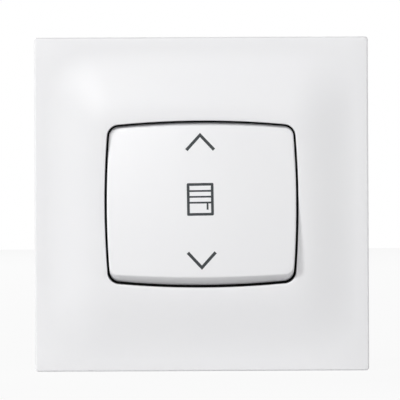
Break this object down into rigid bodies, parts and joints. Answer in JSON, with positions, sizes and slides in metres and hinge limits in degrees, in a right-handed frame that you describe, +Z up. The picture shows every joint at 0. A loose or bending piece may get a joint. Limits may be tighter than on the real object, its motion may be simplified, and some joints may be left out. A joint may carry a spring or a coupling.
{
  "type": "roller shutter switch",
  "caption": "Flush roller shutter switch: square cover plate with a soft swell, a wide domed rocker with arrow marks, steel support and a see-saw contact mechanism with push-in terminals.",
  "frame": {"origin": "middle of the box screw pattern, on the wall: the plane of the back of the plate and of the support", "axes": "+Z up as on the wall, +X to the right seen from the room, +Y into the wall; the front faces -Y"},
  "size_m": [0.082, 0.0386, 0.082],
  "materials": {
    "plate_plastic": "satin white",
    "cradle_plastic": "matt",
    "cover_plastic": "matt black",
    "housing_plastic": "matt grey",
    "zinc_plated_steel": "zinc plated",
    "spring_steel": "bright",
    "plunger_plastic": "natural acetal",
    "contact_copper": "rolled",
    "contact_silver": "silver",
    "button_plastic": "satin orange"
  },
  "bodies": {
    "mechanism": {"cover_plate": "plate_plastic", "mechanism_cover": "cover_plastic", "housing_base": "housing_plastic", "rear_cover": "housing_plastic", "support_frame": "zinc_plated_steel", "assembly_screws": "zinc_plated_steel", "detent_spring": "spring_steel", "clamp_spring_live_upper": "spring_steel", "clamp_spring_live_lower": "spring_steel", "clamp_spring_down": "spring_steel", "clamp_spring_up": "spring_steel", "common_strip": "contact_copper", "up_strip": "contact_copper", "down_strip": "contact_copper", "up_tip": "contact_silver", "down_tip": "contact_silver"},
    "rocker": {"rocker": "plate_plastic", "rocker_cradle": "cradle_plastic"},
    "plunger": {"contact_plunger": "plunger_plastic", "plunger_spring": "spring_steel"},
    "changeover": {"contact_blade": "contact_copper", "moving_tips": "contact_silver"},
    "button_live_upper": {"release_button_live_upper": "button_plastic"},
    "button_live_lower": {"release_button_live_lower": "button_plastic"},
    "button_down": {"release_button_down": "button_plastic"},
    "button_up": {"release_button_up": "button_plastic"}
  },
  "joints": [
    {"name": "rocker_tilt", "type": "hinge", "parent": "mechanism", "child": "rocker", "pos_m": [0, -0.0042, 0], "axis": [1, 0, 0], "range_deg": [0, 12], "deforming": ["detent_spring"]},
    {"name": "plunger_slide", "type": "slide", "parent": "rocker", "child": "plunger", "axis": [0, 0.9945, -0.1045], "range_m": [-0.0003, 0], "stiffness_N_per_m": 600, "deforming": ["plunger_spring"]},
    {"name": "changeover_tilt", "type": "hinge", "parent": "mechanism", "child": "changeover", "pos_m": [0, 0.00735, 0], "axis": [1, 0, 0], "range_deg": [-17, 0]},
    {"name": "button_press_live_upper", "type": "slide", "parent": "mechanism", "child": "button_live_upper", "axis": [0, -1, 0], "range_m": [0, 0.0012], "stiffness_N_per_m": 900, "deforming": ["clamp_spring_live_upper"]},
    {"name": "button_press_live_lower", "type": "slide", "parent": "mechanism", "child": "button_live_lower", "axis": [0, -1, 0], "range_m": [0, 0.0012], "stiffness_N_per_m": 900, "deforming": ["clamp_spring_live_lower"]},
    {"name": "button_press_down", "type": "slide", "parent": "mechanism", "child": "button_down", "axis": [0, -1, 0], "range_m": [0, 0.0012], "stiffness_N_per_m": 900, "deforming": ["clamp_spring_down"]},
    {"name": "button_press_up", "type": "slide", "parent": "mechanism", "child": "button_up", "axis": [0, -1, 0], "range_m": [0, 0.0012], "stiffness_N_per_m": 900, "deforming": ["clamp_spring_up"]}
  ],
  "couplings": [
    {"joint": "changeover_tilt", "follows": "rocker_tilt", "ratio": -1.4166}
  ]
}
